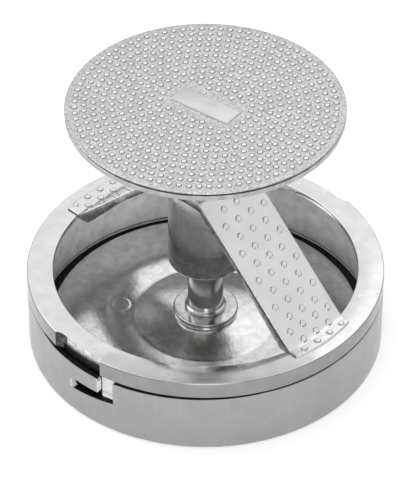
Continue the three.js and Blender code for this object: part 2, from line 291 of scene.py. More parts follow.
# Painted shade on the dots' flanks, for dark arcs round each dot.
DOT_FLANKS_PAINTED_SHADE = Finish(
    "dot_flanks_painted_shade", grey(0.46), 0.1, 0.1, 0.04, cloud_size=2, grain_size=0.5, grain_depth=0.01,
)
PALM_EDGE = Finish(
    "palm_edge", grey(0.4), 0.2, 0.25, 0.06, cloud_size=3, grain_size=0.45, grain_depth=0.02,
)
PALM_UNDERSIDE = Finish(
    "palm_underside", grey(0.7), 0.08, 0.34, 0.05, grain_size=0.6, grain_depth=0.01,
)
BRIGHT_PLAQUE = Finish(
    "bright_plaque", grey(0.66), 0.08, 0.30, 0.05, grain_size=0.5, grain_depth=0.006,
)
WHITE_NYLON = Finish(
    "white_nylon", (0.80, 0.79, 0.74), 0.03, 0.5, 0.05, metallic=0.0,
    grain_size=0.4, grain_depth=0.004,
)
SCREW_STEEL = Finish(
    "screw_steel", grey(0.36), 0.1, 0.3, 0.08, grain_size=0.3, grain_depth=0.003,
    lay=Lay.TURNED, lay_size=0.3, lay_depth=0.002,
)


class FinishBook:
    """Makes each finish's material once and hands it out."""

    def __init__(self) -> None:
        """Start with no material made."""
        self.made: dict[str, bpy.types.Material] = {}

    def material(self, finish: Finish) -> bpy.types.Material:
        """Return the material of a finish.

        Args:
            finish: The finish to make or to look up.

        Returns:
            The node-based material.
        """
        if finish.name not in self.made:
            self.made[finish.name] = MetalNodes(finish).material
        return self.made[finish.name]


class MetalNodes:
    """Node tree of one finish."""

    def __init__(self, finish: Finish) -> None:
        """Build the whole tree.

        Args:
            finish: The finish that the tree shows.
        """
        self.finish = finish
        self.material = bpy.data.materials.new(finish.name)
        self.material.use_nodes = True
        self.tree = self.material.node_tree
        self.shader = self.tree.nodes["Principled BSDF"]
        self.place = self.tree.nodes.new("ShaderNodeTexCoord").outputs["Object"]
        self.shader.inputs["Metallic"].default_value = finish.metallic
        self.colour()
        self.gloss()
        self.relief()

    def noise(self, size: float, detail: float, place: Socket | None = None) -> Socket:
        """Add a noise texture.

        Args:
            size: Size of its features, in millimetres.
            detail: Octaves of the noise.
            place: Coordinates to read, or the object's own.

        Returns:
            The socket with the noise value.
        """
        node = self.tree.nodes.new("ShaderNodeTexNoise")
        node.inputs["Scale"].default_value = 1 / (size * METRES)
        node.inputs["Detail"].default_value = detail
        node.inputs["Roughness"].default_value = NOISE_ROUGHNESS
        self.tree.links.new(place or self.place, node.inputs["Vector"])
        return node.outputs["Fac"]

    def colour(self) -> None:
        """Vary the base colour with clouds, lighten worn edges and darken the lower part with painted shade.
        """
        finish = self.finish
        low = tuple(c * (1 - finish.tone_spread) for c in finish.tone)
        high = tuple(min(1.0, c * (1 + finish.tone_spread)) for c in finish.tone)
        stops = list(zip(COLOUR_NOISE, (low, high)))
        result = ramped(self.tree, self.noise(finish.cloud_size, 5), stops)
        if finish.wear:
            result = self.worn(result)
        # Painted shade toward the lower height.
        if finish.fade:
            result = self.with_painted_low_shade(result)
        self.tree.links.new(result, self.shader.inputs["Base Color"])

    def worn(self, colour: Socket) -> Socket:
        """Lighten a colour where the surface is sharply convex.

        Args:
            colour: The colour away from the edges.

        Returns:
            The socket with the worn colour.
        """
        pointed = self.tree.nodes.new("ShaderNodeNewGeometry").outputs["Pointiness"]
        edge = mapped(self.tree, pointed, EDGE_POINTINESS, (0.0, self.finish.wear))
        mix = self.tree.nodes.new("ShaderNodeMix")
        mix.data_type = "RGBA"
        self.tree.links.new(edge, mix.inputs["Factor"])
        plain, bare = (s for s in mix.inputs if s.type == "RGBA")
        self.tree.links.new(colour, plain)
        bare.default_value = (*grey(BARE_EDGE_TONE, 0.0), 1)
        return next(s for s in mix.outputs if s.type == "RGBA")

    def with_painted_low_shade(self, colour: Socket) -> Socket:
        """Darken a colour toward the lower of the finish's two heights, as painted shade.

        Args:
            colour: The colour without the painted shade.

        Returns:
            The socket with the shaded colour.
        """
        low, high, left = self.finish.fade
        height = split_up(self.tree, self.place)["Z"]
        share = mapped(self.tree, height, (low * METRES, high * METRES), (left, 1.0))
        product = self.tree.nodes.new("ShaderNodeVectorMath")
        product.operation = "SCALE"
        self.tree.links.new(colour, product.inputs["Vector"])
        self.tree.links.new(share, product.inputs["Scale"])
        return product.outputs["Vector"]

    def gloss(self) -> None:
        """Vary the roughness with clouds that are smaller than the colour's."""
        finish = self.finish
        clouds = self.noise(finish.cloud_size * GLOSS_CLOUD_SHARE, 6)
        low = max(LEAST_ROUGHNESS, finish.roughness - finish.roughness_spread)
        high = finish.roughness + finish.roughness_spread
        gloss = mapped(self.tree, clouds, GLOSS_NOISE, (low, high))
        self.tree.links.new(gloss, self.shader.inputs["Roughness"])

    def relief(self) -> None:
        """Chain the bumps: waves, dents, tool marks and grain."""
        finish = self.finish
        normal = None
        if finish.wave_depth:
            normal = self.bump(self.noise(finish.wave_size, 2), finish.wave_depth, normal)
        if finish.dent_depth:
            normal = self.bump(self.dents(), finish.dent_depth, normal)
        if finish.lay is Lay.TURNED:
            normal = self.bump(self.marks(), finish.lay_depth, normal)
        if finish.grain_depth:
            normal = self.bump(self.noise(finish.grain_size, 4), finish.grain_depth, normal)
        if normal is not None:
            self.tree.links.new(normal, self.shader.inputs["Normal"])

    def bump(self, height: Socket, depth: float, under: Socket | None) -> Socket:
        """Add a bump on top of another.

        Args:
            height: Height from 0 to 1.
            depth: Depth in millimetres.
            under: The normal below, if there is one.

        Returns:
            The socket with the bumped normal.
        """
        node = self.tree.nodes.new("ShaderNodeBump")
        node.inputs["Distance"].default_value = depth * METRES
        self.tree.links.new(height, node.inputs["Height"])
        if under is not None:
            self.tree.links.new(under, node.inputs["Normal"])
        return node.outputs["Normal"]

    def dents(self) -> Socket:
        """Return a height that is 1 but for a few small dents."""
        cells = self.tree.nodes.new("ShaderNodeTexVoronoi")
        cells.inputs["Scale"].default_value = 1 / (self.finish.dent_size * METRES)
        self.tree.links.new(self.place, cells.inputs["Vector"])
        return mapped(self.tree, cells.outputs["Distance"], DENT_CELL, (0.0, 1.0), soft=True)

    def marks(self) -> Socket:
        """Return fine tool marks, as rings about the axis."""
        place = split_up(self.tree, self.place)
        radius = self.tree.nodes.new("ShaderNodeVectorMath")
        radius.operation = "LENGTH"
        self.tree.links.new(joined(self.tree, place["X"], place["Y"]), radius.inputs["Vector"])
        rings = joined(self.tree, radius.outputs["Value"], place["Z"])
        return self.noise(self.finish.lay_size, 3, rings)


BOOK = FinishBook()


@dataclass
class Draft:
    """Vertices and faces of one piece, in millimetres, while it is being made."""

    points: list[Point] = field(default_factory=list)
    faces: list[tuple[int, ...]] = field(default_factory=list)

    def ring(self, points: Sequence[Point]) -> Ring:
        """Add points and return their numbers."""
        start = len(self.points)
        self.points.extend(points)
        return list(range(start, len(self.points)))

    def bridge(self, first: Ring, second: Ring) -> None:
        """Join two closed rings of as many points with a band of quads.

        Args:
            first: The ring that the faces start from.
            second: The ring that they end at.
        """
        count = len(first)
        for i in range(count):
            j = (i + 1) % count
            self.faces.append((first[i], first[j], second[j], second[i]))

    def cap(self, points: Sequence[Point], triangles: Sequence[tuple[int, ...]]) -> None:
        """Add points and the triangles between them."""
        ring = self.ring(points)
        self.faces.extend(tuple(ring[i] for i in t) for t in triangles)

    def skin(self, rings: Sequence[Ring]) -> None:
        """Join each ring to the next."""
        for first, second in zip(rings, rings[1:]):
            self.bridge(first, second)

    def fan(self, ring: Ring, tip: Point) -> None:
        """Close a ring with triangles to a tip.

        Args:
            ring: The ring to close.
            tip: The point that all triangles meet at.
        """
        top = self.ring([tip])[0]
        for i, first in enumerate(ring):
            self.faces.append((first, ring[(i + 1) % len(ring)], top))

    def mesh(self, name: str) -> bpy.types.Mesh:
        """Weld the draft and turn its faces outward.

        Args:
            name: Name of the mesh.

        Returns:
            The mesh, in metres.
        """
        work = bmesh.new()
        corners = [work.verts.new(p) for p in self.points]
        for face in self.faces:
            kept = list(dict.fromkeys(face))
            if len(kept) > 2:
                work.faces.new([corners[i] for i in kept])
        bmesh.ops.remove_doubles(work, verts=work.verts, dist=WELD)
        bmesh.ops.dissolve_degenerate(work, edges=work.edges, dist=WELD / 10)
        loose = [v for v in work.verts if not v.link_faces]
        bmesh.ops.delete(work, geom=loose, context="VERTS")
        bmesh.ops.recalc_face_normals(work, faces=work.faces)
        bmesh.ops.scale(work, vec=(METRES,) * 3, verts=work.verts)
        mesh = bpy.data.meshes.new(name)
        work.to_mesh(mesh)
        work.free()
        return mesh


def shade(mesh: bpy.types.Mesh) -> None:
    """Smooth the faces of a mesh, except across sharp edges."""
    mesh.polygons.foreach_set("use_smooth", [True] * len(mesh.polygons))
    mesh.set_sharp_from_angle(angle=SMOOTH_LIMIT)


def linked(name: str, mesh: bpy.types.Mesh) -> bpy.types.Object:
    """Put a mesh in the scene as an object."""
    piece = bpy.data.objects.new(name, mesh)
    bpy.context.scene.collection.objects.link(piece)
    return piece


def cut(piece: bpy.types.Object, tools: Sequence[bpy.types.Object]) -> None:
    """Cut tools out of a piece and remove them.

    Args:
        piece: The piece to cut.
        tools: Closed meshes to take away from it.
    """
    for tool in tools:
        modifier = piece.modifiers.new("cut", "BOOLEAN")
        modifier.operation = "DIFFERENCE"
        modifier.solver = "EXACT"
        modifier.object = tool
    bpy.context.view_layer.update()
    seen = piece.evaluated_get(bpy.context.evaluated_depsgraph_get())
    mesh = bpy.data.meshes.new_from_object(seen)
    piece.modifiers.clear()
    piece.data = mesh
    for tool in tools:
        bpy.data.objects.remove(tool)


@dataclass
class Paint:
    """A finish for the faces of a piece that pass a test, by centre and normal in millimetres."""

    finish: Finish
    covers: Callable[[Vector, Vector], bool] = lambda centre, normal: True


def dress(
    piece: bpy.types.Object, body: Body, node: str, paints: Sequence[Paint]
) -> bpy.types.Object:
    """Finish a piece and fix it to the frame.

    Args:
        piece: The piece, in place.
        body: The body that it rides on.
        node: The CAD node that it stands for.
        paints: Finishes, of which a face gets the last that covers it.

    Returns:
        The same piece.
    """
    mesh = piece.data
    mesh.materials.clear()
    for paint in paints:
        mesh.materials.append(BOOK.material(paint.finish))
    for face in mesh.polygons:
        centre = Vector(face.center) / METRES
        fitting = [i for i, p in enumerate(paints) if p.covers(centre, face.normal)]
        face.material_index = fitting[-1]
    shade(mesh)
    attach(piece, body.value)
    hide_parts(node)
    LOG.info("%s: %d faces", piece.name, len(mesh.polygons))
    return piece


def softened(corners: Sequence[Corner], closed: bool, steps: int = 5) -> list[Flat]:
    """Round the corners of a profile.

    Args:
        corners: Each corner's two coordinates and its rounding, in millimetres.
        closed: Whether the last corner joins the first.
        steps: Segments of each rounding.

    Returns:
        The points of the rounded profile.
    """
    points: list[Flat] = []
    count = len(corners)
    for i, (x, y, size) in enumerate(corners):
        here = Vector((x, y))
        ends = not closed and i in (0, count - 1)
        if size == 0 or ends:
            points.append((x, y))
            continue
        before = (Vector(corners[i - 1][:2]) - here).normalized()
        after = (Vector(corners[(i + 1) % count][:2]) - here).normalized()
        turn = before.angle(after)
        reach = size / math.tan(turn / 2)
        start, end = here + before * reach, here + after * reach
        centre = here + (before + after).normalized() * (size / math.sin(turn / 2))
        for step in range(steps + 1):
            share = step / steps
            line = start.lerp(end, share) - centre
            points.append(tuple(centre + line.normalized() * size))
    return points


def circle(radius: float, height: float, sides: int) -> list[Point]:
    """Return points around the axis, at a radius and a height."""
    turns = [FULL_TURN * i / sides for i in range(sides)]
    return [(radius * math.cos(a), radius * math.sin(a), height) for a in turns]


def loop_around(place: Flat, radius: float, sides: int) -> list[Flat]:
    """Return the points of a flat circle around a place."""
    turns = [FULL_TURN * i / sides for i in range(sides)]
    return [(place[0] + radius * math.cos(a), place[1] + radius * math.sin(a)) for a in turns]


def turned(profile: Sequence[Flat], sides: int, closed: bool) -> Draft:
    """Turn a profile about the axis.

    Args:
        profile: Points as radius and height.
        sides: Segments of the turn.
        closed: Whether the profile is a loop, and otherwise it ends on the axis.

    Returns:
        The draft of the turned piece.
    """
    draft = Draft()
    rings = [draft.ring(circle(r, z, sides)) for r, z in profile if r > 0]
    draft.skin(rings)
    if closed:
        draft.bridge(rings[-1], rings[0])
    else:
        draft.fan(rings[0], (0.0, 0.0, profile[0][1]))
        draft.fan(rings[-1][::-1], (0.0, 0.0, profile[-1][1]))
    return draft


def lathed(name: str, corners: Sequence[Corner], sides: int, closed: bool) -> bpy.types.Object:
    """Turn a profile with rounded corners and put it in the scene.

    Args:
        name: Name of the piece.
        corners: Each corner's radius, height and rounding.
        sides: Segments of the turn.
        closed: Whether the profile is a loop, and otherwise it ends on the axis.

    Returns:
        The piece, in place.
    """
    return linked(name, turned(softened(corners, closed), sides, closed).mesh(name))


def triangles_inside(
    points: Sequence[Flat], loops: Sequence[Sequence[int]]
) -> tuple[list[Flat], list[tuple[int, ...]]]:
    """Fill flat loops with triangles.

    Args:
        points: All points, also those that lie loose inside.
        loops: Numbers of the points of each loop.

    Returns:
        The points and the triangles of the fill.
    """
    edges: list[tuple[int, int]] = []
    for loop in loops:
        edges.extend((loop[i - 1], loop[i]) for i in range(len(loop)))
    made = delaunay_2d_cdt([Vector(p) for p in points], edges, [], INSIDE_ONLY, FILL_LIMIT)
    return [tuple(p) for p in made[0]], [tuple(f) for f in made[2]]


@dataclass
class Knobs:
    """Round raised dots on a surface, all alike."""

    places: list[Flat]
    radius: float
    height: float
    rise_shares: tuple[Flat, ...]
    sides: int = 12
    skirt_share: float = 1.12
    inside_share: float = 0.97

    def loop(self, place: Flat, share: float) -> list[Flat]:
        """Return the points of a circle around a dot's middle, at a share of its radius."""
        return loop_around(place, self.radius * share, self.sides)

    def raise_on(self, draft: Draft, lift: Callable[[float, float, float], Point]) -> None:
        """Build the dots on a draft.

        Args:
            draft: The draft that gets them.
            lift: Place in space of a flat point at a height above the surface.
        """
        for place in self.places:
            rings = []
            for reach, rise in self.rise_shares:
                flat = self.loop(place, reach)
                rings.append(draft.ring([lift(x, y, rise * self.height) for x, y in flat]))
            draft.skin(rings)
            draft.fan(rings[-1], lift(*place, self.height))


def knobbed_face(
    draft: Draft,
    outline: Sequence[Flat],
    knobs: Knobs,
    lift: Callable[[float, float, float], Point],
    loose: Sequence[Flat] = (),
) -> None:
    """Fill an outline with a face that carries raised dots.

    Args:
        draft: The draft that gets the face.
        outline: The closed outline, flat.
        knobs: The dots.
        lift: Place in space of a flat point at a height above the surface.
        loose: Further points inside, which the triangles go through.
    """
    points = list(outline)
    loops = [list(range(len(outline)))]
    for place in knobs.places:
        for share in (1.0, knobs.skirt_share):
            start = len(points)
            points.extend(knobs.loop(place, share))
            loops.append(list(range(start, len(points))))
    points.extend(loose)
    flat, triangles = triangles_inside(points, loops)
    middles = np.array([np.mean([flat[i] for i in t], axis=0) for t in triangles])
    spots = np.array(knobs.places)
    inner = knobs.radius * knobs.inside_share
    kept = [t for t, middle in zip(triangles, middles) if np.min(np.hypot(*(spots - middle).T)) > inner]
    draft.cap([lift(x, y, 0.0) for x, y in flat], kept)
    knobs.raise_on(draft, lift)


def grown(outline: Sequence[Flat], amount: float) -> list[Flat]:
    """Move each point of a counterclockwise outline outward.

    Args:
        outline: The closed outline, in millimetres.
        amount: How far its sides move, or inward if negative.

    Returns:
        The moved outline.
    """
    moved = []
    count = len(outline)
    for i in range(count):
        before = Vector(outline[i]) - Vector(outline[i - 1])
        after = Vector(outline[(i + 1) % count]) - Vector(outline[i])
        normals = [Vector((d.y, -d.x)).normalized() for d in (before, after)]
        middle = (normals[0] + normals[1]).normalized()
        reach = amount / max(LEAST_MITRE, middle.dot(normals[0]))
        moved.append(tuple(Vector(outline[i]) + middle * reach))
    return moved


def wrapped(
    name: str, outline: Sequence[Flat], layers: Sequence[Flat], middle: float, scale_radius: float
) -> bpy.types.Object:
    """Wrap a flat outline around the axis and give it depth along the radius.

    Args:
        name: Name of the block.
        outline: Closed outline, counterclockwise from outside, as length and height.
        layers: Radii from the inside out, each with how much the outline grows there.
        middle: Angle of the outline's zero length, in degrees.
        scale_radius: Radius at which lengths along the outline are true.

    Returns:
        The wrapped block, in place.
    """
    draft = Draft()
    rings = []

    def place(length: float, height: float, radius: float) -> Point:
        """Return the place in space of a point of the outline."""
        angle = math.radians(middle) + length / scale_radius
        return (radius * math.cos(angle), radius * math.sin(angle), height)

    for radius, growth in layers:
        rings.append(draft.ring([place(x, z, radius) for x, z in grown(outline, growth)]))
    draft.skin(rings)
    for radius, growth in (layers[0], layers[-1]):
        flat, triangles = triangles_inside(grown(outline, growth), [range(len(outline))])
        draft.cap([place(x, z, radius) for x, z in flat], triangles)
    return linked(name, draft.mesh(name))


def prism(name: str, outline: Sequence[Flat], low: float, high: float) -> bpy.types.Object:
    """Make an upright block from a flat outline, to cut with.

    Args:
        name: Name of the block.
        outline: The closed outline, as X and Y.
        low: Height of its bottom.
        high: Height of its top.

    Returns:
        The block, in place.
    """
    draft = Draft()
    flat, triangles = triangles_inside(outline, [range(len(outline))])
    rings = []
    for height in (low, high):
        rings.append(draft.ring([(x, y, height) for x, y in outline]))
        draft.cap([(x, y, height) for x, y in flat], triangles)
    draft.bridge(*rings)
    return linked(name, draft.mesh(name))


def around(radius: float, degrees: float) -> Flat:
    """Return the flat place at a radius and an angle in degrees."""
    angle = math.radians(degrees)
    return (radius * math.cos(angle), radius * math.sin(angle))


def divided(points: Sequence[Flat], step: float) -> list[Flat]:
    """Add points along the sides of a closed outline.

    Args:
        points: The corners of the outline.
        step: Longest distance between two points along X.

    Returns:
        The outline with more points.
    """
    result = []
    for i, (x, y) in enumerate(points):
        after = points[(i + 1) % len(points)]
        parts = max(1, math.ceil(abs(after[0] - x) / step))
        for part in range(parts):
            share = part / parts
            result.append((x + (after[0] - x) * share, y + (after[1] - y) * share))
    return result


@dataclass
class Bayonet:
    """The two places where the mould locks on the tray."""

    stations: tuple[float, float] = (0.0, 180.0)
    channel_start: float = -81.0
    channel_end: float = -75.3
    run_start: float = -92.8
    run_low: float = 9.7
    run_bottom: float = 12.0
    run_top: float = 14.2
    dip_start: float = -109.0
    notch_start: float = -100.0
    notch_end: float = -80.0

    def past_start(self, place: Vector, lead: float) -> float:
        """Return how many degrees a place lies past the point a lead before a notch's start."""
        turn = math.degrees(math.atan2(place.y, place.x))
        return min((turn - self.notch_start - s + lead) % 360 for s in self.stations)


@dataclass
class BaseTray:
    """The round tray with its two L-shaped slots."""

    radius: float = 60.0
    height: float = 21.65
    inner: float = 58.0
    floor: float = 2.5
    foot_round: float = 1.3
    edge_round: float = 0.3
    inner_round: float = 2.0
    sides: int = 240
    tongue_top: float = 20.2
    tongue_round: float = 1.3
    run_round: float = 1.8
    wedge_depth: float = 0.75
    wedge_reach: float = 56.0
    dip_share: float = 0.72
    dip_round: float = 6.0
    dip_rise: float = 0.5
    corner_round: float = 0.45
    lower_round: float = 0.3
    bevel: float = 0.14
    overrun: float = 3.0
    slots_from: float = 5.0
    run_below: float = 17.0
    outline_step: float = 0.8
    bayonet: Bayonet = field(default_factory=Bayonet)

    def slot_outline(self) -> list[Flat]:
        """Return the outline of one slot, as length from the channel's left side and height."""
        bayonet = self.bayonet
        reach = math.radians(1) * self.radius
        right = (bayonet.channel_end - bayonet.channel_start) * reach
        left = (bayonet.run_start - bayonet.channel_start) * reach
        dip = (bayonet.dip_start - bayonet.channel_start) * reach
        above = self.height + self.overrun
        corners = [
            (dip, above, 0.0),
            (dip, self.height + 0.1, 0.0),
            (dip * self.dip_share, self.tongue_top + self.dip_rise, self.dip_round),
            (0.0, self.tongue_top, self.tongue_round),
            (0.0, bayonet.run_top, self.corner_round),
            (left, bayonet.run_top, self.run_round),
            (left, bayonet.run_low, self.run_round),
            (right, bayonet.run_bottom, self.lower_round),
            (right, self.height - self.wedge_depth, self.corner_round),
            (right + self.wedge_reach, self.height + 0.05, 0.0),
            (right + self.wedge_reach, above, 0.0),
        ]
        return divided(softened(corners, closed=True, steps=6), self.outline_step)

    def build(self) -> bpy.types.Object:
        """Turn the tray and cut its slots."""
        profile = [
            (0.0, 0.0, 0.0),
            (self.radius, 0.0, self.foot_round),
            (self.radius, self.height, self.edge_round),
            (self.inner, self.height, self.edge_round / 2),
            (self.inner, self.floor, self.inner_round),
            (0.0, self.floor, 0.0),
        ]
        piece = lathed("tray", profile, self.sides, closed=False)
        layers = [
            (self.inner - 1.5, 0.0),
            (self.radius - self.bevel, 0.0),
            (self.radius, self.bevel),
            (self.radius + 0.12, self.bevel + 0.12),
        ]
        tools = []
        for station in self.bayonet.stations:
            middle = self.bayonet.channel_start + station
            tools.append(wrapped("slot_tool", self.slot_outline(), layers, middle, self.radius))
        cut(piece, tools)

        def in_slot(centre: Vector, normal: Vector) -> bool:
            """Tell whether a face is a level cut of a slot or the seat under the lip."""
            inside = self.inner < centre.xy.length < self.radius - 0.2
            return inside and abs(normal.z) > LEVEL and centre.z > self.slots_from

        def at_run_end(centre: Vector, normal: Vector) -> bool:
            """Tell whether a face closes the blind end of a slot."""
            inside = self.inner < centre.xy.length < self.radius - 0.05
            sweep = Vector((-centre.y, centre.x)).normalized().dot(normal.xy)
            return inside and sweep > LEANING and centre.z < self.run_below

        paints = [
            Paint(SATIN_TRAY),
            # Painted shade on the tray's inner floor.
            Paint(TRAY_FLOOR_PAINTED_SHADE, lambda c, n: c.xy.length < self.inner + 0.1 and c.z > self.floor / 2),
            # Painted shade on the slots' level cuts and on the seat under the lip.
            Paint(PAINTED_SHADE_RECESS, in_slot),
            # Painted light on the blind end of each slot.
            Paint(CUT_PAINTED_LIGHT, at_run_end),
        ]
        return dress(piece, Body.BASE, "base_tray", paints)


@dataclass
class Mould:
    """The rim, the skirt below it and the two lugs."""

    radius: float = 60.0
    top: float = 28.3
    opening: float = 51.2
    thickness: float = 1.9
    lip_bottom: float = 22.3
    lip_inner: float = 58.5
    groove_top: float = 24.7
    skirt_outer: float = 57.5
    skirt_inner: float = 56.6
    skirt_bottom: float = 3.0
    bead_top: float = 3.85
    bead_groove: float = 0.45
    seat_gap: float = 0.1
    notch_floor: float = 58.3
    notch_sweep: float = 4.2
    notch_flare: float = 0.9
    notch_ease: float = 0.15
    start_margin: float = 1.4
    notch_low: float = 20.0
    notch_high: float = 31.0
    shade_sweep: float = 21.0
    bevel: float = 0.14
    overrun: float = 1.0
    sides: int = 240
    foot_half_width: float = 12.5
    foot_end: float = 55.6
    foot_bottom: float = 27.4
    foot_gap: float = 0.12
    foot_overlap: float = 4.0
    foot_rows: int = 24
    lug_round: float = 0.3
    lug_bevel: float = 0.09
    lug_outer: float = 59.2
    lug_bottom: float = 13.2
    lug_top: float = 14.05
    lug_start: float = -79.8
    lug_end: float = -75.5
    bayonet: Bayonet = field(default_factory=Bayonet)

    def notch_tool(self, station: float) -> bpy.types.Object:
        """Return the tool for one notch in the lip, which a round cutter left with a soft start."""
        start, end = self.bayonet.notch_start + station, self.bayonet.notch_end + station
        clear = self.radius + self.overrun
        arc_steps, floor_steps = 8, 12
        outline = [around(clear, start - self.notch_flare), around(self.radius, start - self.notch_ease)]
        for step in range(1, arc_steps + 1):
            turn = step / arc_steps * math.pi / 2
            depth = (self.radius - self.notch_floor) * math.sin(turn)
            outline.append(around(self.radius - depth, start + self.notch_sweep * (1 - math.cos(turn))))
        floor_from = start + self.notch_sweep
        for step in range(1, floor_steps + 1):
            outline.append(around(self.notch_floor, floor_from + (end - floor_from) * step / floor_steps))
        outline.append(around(self.radius - self.bevel, end))
        outline.append(around(self.radius, end + self.bevel))
        outline.append(around(clear, end + self.notch_flare))
        outline += [around(clear, end - (end - start) * i / arc_steps) for i in range(1, arc_steps)]
        return prism("notch_tool", outline, self.notch_low, self.notch_high)

    def foot_tool(self, side: int) -> bpy.types.Object:
        """Return the tool for the shallow seat of one foot of the bridge.

        Args:
            side: 1 for the right foot, -1 for the left one.

        Returns:
            The tool, in place.
        """
        half = self.foot_half_width + self.foot_gap
        rows = [half - 2 * half * i / self.foot_rows for i in range(self.foot_rows + 1)]
        reach = self.foot_end + self.foot_gap
        inner = side * (self.opening - self.foot_overlap)
        outline = [(side * math.sqrt(reach * reach - y * y), y) for y in rows]
        outline += [(inner, -half), (inner, half)]
        return prism("foot_tool", outline, self.foot_bottom, self.top + self.overrun)

    def build_rim(self) -> bpy.types.Object:
        """Turn the rim, then cut its notches and the seats of the bridge."""
        under = self.top - self.thickness
        seat = self.skirt_outer + self.seat_gap
        profile = [
            (self.opening, self.top, 0.35),
            (self.radius, self.top, 0.4),
            (self.radius, self.lip_bottom, 0.2),
            (self.lip_inner, self.lip_bottom, 0.2),
            (self.lip_inner, self.groove_top, 0.0),
            (seat, self.groove_top, 0.0),
            (seat, under, 0.0),
            (self.opening, under, 0.3),
        ]
        piece = lathed("rim", profile, self.sides, closed=True)
        tools = [self.notch_tool(s) for s in self.bayonet.stations]
        tools += [self.foot_tool(side) for side in (1, -1)]
        cut(piece, tools)

        def in_lip(centre: Vector, normal: Vector) -> bool:
            """Tell whether a face is on the outside of the lip."""
            return centre.xy.length > self.radius - 0.3 and abs(normal.z) < STEEP

        def in_notch(centre: Vector, normal: Vector) -> bool:
            """Tell whether a face was cut by a notch."""
            on_floor = abs(centre.xy.length - self.notch_floor) < 0.1
            return on_floor and normal.xy.dot(centre.xy) > 0 and abs(normal.z) < LEANING

        def in_start(centre: Vector, normal: Vector) -> bool:
            """Tell whether a face is on the soft start of a notch."""
            near = self.bayonet.past_start(centre, lead=1.0) < self.notch_sweep + self.start_margin
            inside = self.notch_floor - 0.05 < centre.xy.length < self.radius - 0.02
            return inside and near and abs(normal.z) < LEANING

        paints = [
            Paint(POLISHED_RIM),
            Paint(BRUSHED_LIP, in_lip),
            # The notches' cut walls, painted darker toward their bottom as shade.
            Paint(ROUGH_CUT, in_notch),
            # Painted shade on the soft start of each notch.
            Paint(NOTCH_START_PAINTED_SHADE, in_start),
        ]
        return dress(piece, Body.MOULD, "mould_rim", paints)

    def build_skirt(self) -> bpy.types.Object:
        """Turn the thin wall inside the tray, with a bead and a groove at its lower edge."""
        groove = self.skirt_inner + self.bead_groove
        profile = [
            (self.skirt_outer, self.top - self.thickness, 0.0),
            (self.skirt_outer, self.skirt_bottom, 0.5),
            (self.skirt_inner, self.skirt_bottom, 0.2),
            (self.skirt_inner, self.bead_top, 0.1),
            (groove, self.bead_top + 0.1, 0.0),
            (groove, self.bead_top + 0.35, 0.0),
            (self.skirt_inner, self.bead_top + self.bead_groove, 0.1),
            (self.skirt_inner, self.top - self.thickness, 0.0),
        ]
        piece = lathed("skirt", profile, self.sides, closed=True)
        outside = self.skirt_outer - 0.1

        def in_shade(centre: Vector, normal: Vector) -> bool:
            """Tell whether a face is on the outside, behind a slot's run and a notch."""
            return centre.xy.length > outside and self.bayonet.past_start(centre, lead=2.0) < self.shade_sweep

        def in_groove(centre: Vector, normal: Vector) -> bool:
            """Tell whether a face is in the groove above the bead."""
            return centre.xy.length < outside and 0.02 < centre.z - self.bead_top < self.bead_groove

        # Painted shade on the skirt's outside behind the slots and notches, and in the groove above the bead.
        paints = [Paint(SPUN_SKIRT), Paint(PAINTED_SHADE_RECESS, in_shade), Paint(PAINTED_SHADE_RECESS, in_groove)]
        return dress(piece, Body.MOULD, "mould_skirt", paints)

    def build_lug(self, name: str, node: str, station: float) -> bpy.types.Object:
        """Build one lug of the bayonet.

        Args:
            name: Name of the piece.
            node: The CAD node that it stands for.
            station: Angle of the station, in degrees.

        Returns:
            The dressed lug.
        """
        long = (self.lug_end - self.lug_start) * math.radians(1) * self.skirt_outer
        low, high, rounding = self.lug_bottom, self.lug_top, self.lug_round
        corners = [(0.0, low, rounding), (long, low, rounding), (long, high, rounding), (0.0, high, rounding)]
        outline = divided(softened(corners, closed=True, steps=4), 0.8)
        layers = [
            (self.skirt_outer - 0.02, 0.0),
            (self.lug_outer - rounding, 0.0),
            (self.lug_outer - self.lug_bevel, -self.lug_bevel),
            (self.lug_outer, -rounding),
        ]
        piece = wrapped(name, outline, layers, self.lug_start + station, self.skirt_outer)
        # Painted light on the lug's faces.
        return dress(piece, Body.MOULD, node, [Paint(CUT_PAINTED_LIGHT)])

    def build(self) -> None:
        """Build every piece of the mould ring."""
        self.build_rim()
        self.build_skirt()
        front, back = self.bayonet.stations
        self.build_lug("lug_front", "bayonet_lug_front", front)
        self.build_lug("lug_back", "bayonet_lug_back", back)


